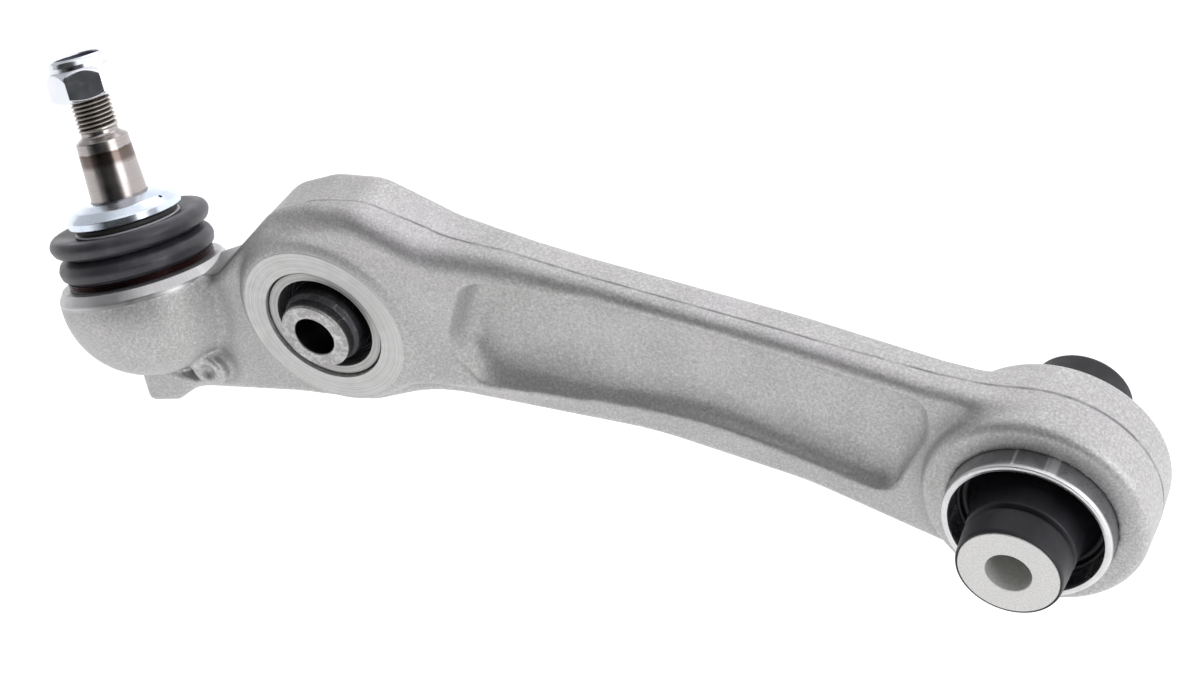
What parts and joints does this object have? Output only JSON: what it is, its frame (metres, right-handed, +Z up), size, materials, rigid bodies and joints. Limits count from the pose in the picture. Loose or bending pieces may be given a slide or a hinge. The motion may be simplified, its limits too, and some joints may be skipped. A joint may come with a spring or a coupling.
{
  "type": "suspension control arm",
  "caption": "Forged aluminium lower control arm with a subframe bush, a damper-strut bush and a sealed ball joint whose threaded stud carries a lock nut.",
  "frame": {"origin": "centre of the subframe bush's bolt bore, on the arm's parting plane", "axes": "+Y along both bush bores towards the back of the arm, +X along the arm from the strut bush to the subframe bush, +Z up"},
  "size_m": [0.3945, 0.0826, 0.1274],
  "materials": {
    "forged_aluminium": "shot blasted, matt",
    "machined_aluminium": "turned, satin",
    "steel": "ground, bare",
    "zinc": "bright zinc plate",
    "rubber": "matt moulded",
    "boot_rubber": "satin moulded",
    "dark_plastic": "matt",
    "nylon": "satin",
    "wire": "dark lacquered wire"
  },
  "bodies": {
    "subframe_sleeve": {"subframe_bush_sleeve": "machined_aluminium", "subframe_sleeve_skins": "rubber"},
    "arm": {"arm_forging": "forged_aluminium", "subframe_bush_can": "machined_aluminium", "subframe_bush_end_rings": "steel", "subframe_bush_channel": "dark_plastic", "subframe_bush_rubber": "rubber", "subframe_bush_end_seals": "rubber", "strut_bush_shell": "machined_aluminium", "strut_bush_rubber": "rubber", "bearing_shell": "dark_plastic", "closing_ring": "steel", "boot_lower_fold": "boot_rubber", "boot_clamp_ring": "wire"},
    "strut_sleeve": {"strut_bush_sleeve": "steel"},
    "boot_middle": {"boot_upper_fold": "boot_rubber"},
    "boot_top": {"boot_neck": "boot_rubber", "boot_neck_band": "steel", "boot_support_ring": "dark_plastic"},
    "stud": {"ball_stud": "steel", "seal_cap": "zinc"},
    "nut_feed": {"nut_insert": "nylon"},
    "nut": {"nut_body": "zinc"}
  },
  "joints": [
    {"name": "arm_pivot", "type": "hinge", "parent": "subframe_sleeve", "child": "arm", "pos_m": [0, 0, 0], "axis": [0, 1, 0], "range_deg": [-20, 20], "stiffness_Nm_per_rad": 115},
    {"name": "strut_pivot", "type": "hinge", "parent": "arm", "child": "strut_sleeve", "pos_m": [-0.2418, -0.0015, 0.00455], "axis": [0, 1, 0], "range_deg": [-20, 20], "stiffness_Nm_per_rad": 30},
    {"name": "ball_swing_in_out", "type": "hinge", "parent": "arm", "child": "boot_middle", "pos_m": [-0.3193, -0.0067, -0.0135], "axis": [0.1011, 0.9566, -0.2734], "range_deg": [-16, 16], "deforming": ["boot_upper_fold", "boot_lower_fold"]},
    {"name": "ball_swing_fore_aft", "type": "hinge", "parent": "boot_middle", "child": "boot_top", "pos_m": [-0.3193, -0.0067, -0.0135], "axis": [0.9379, 0, 0.3469], "range_deg": [-16, 16]},
    {"name": "stud_spin", "type": "hinge", "parent": "boot_top", "child": "stud", "pos_m": [-0.3193, -0.0067, -0.0135], "axis": [-0.3319, 0.2915, 0.8972], "continuous": true},
    {"name": "nut_travel", "type": "slide", "parent": "stud", "child": "nut_feed", "axis": [-0.3319, 0.2915, 0.8972], "range_m": [-0.012, 0.006]},
    {"name": "nut_turn", "type": "hinge", "parent": "nut_feed", "child": "nut", "pos_m": [-0.34585, 0.01662, 0.05827], "axis": [-0.3319, 0.2915, 0.8972], "range_deg": [-2880, 1440]}
  ],
  "couplings": [
    {"joint": "nut_travel", "follows": "nut_turn", "m_per_rad": 0.00023873}
  ]
}
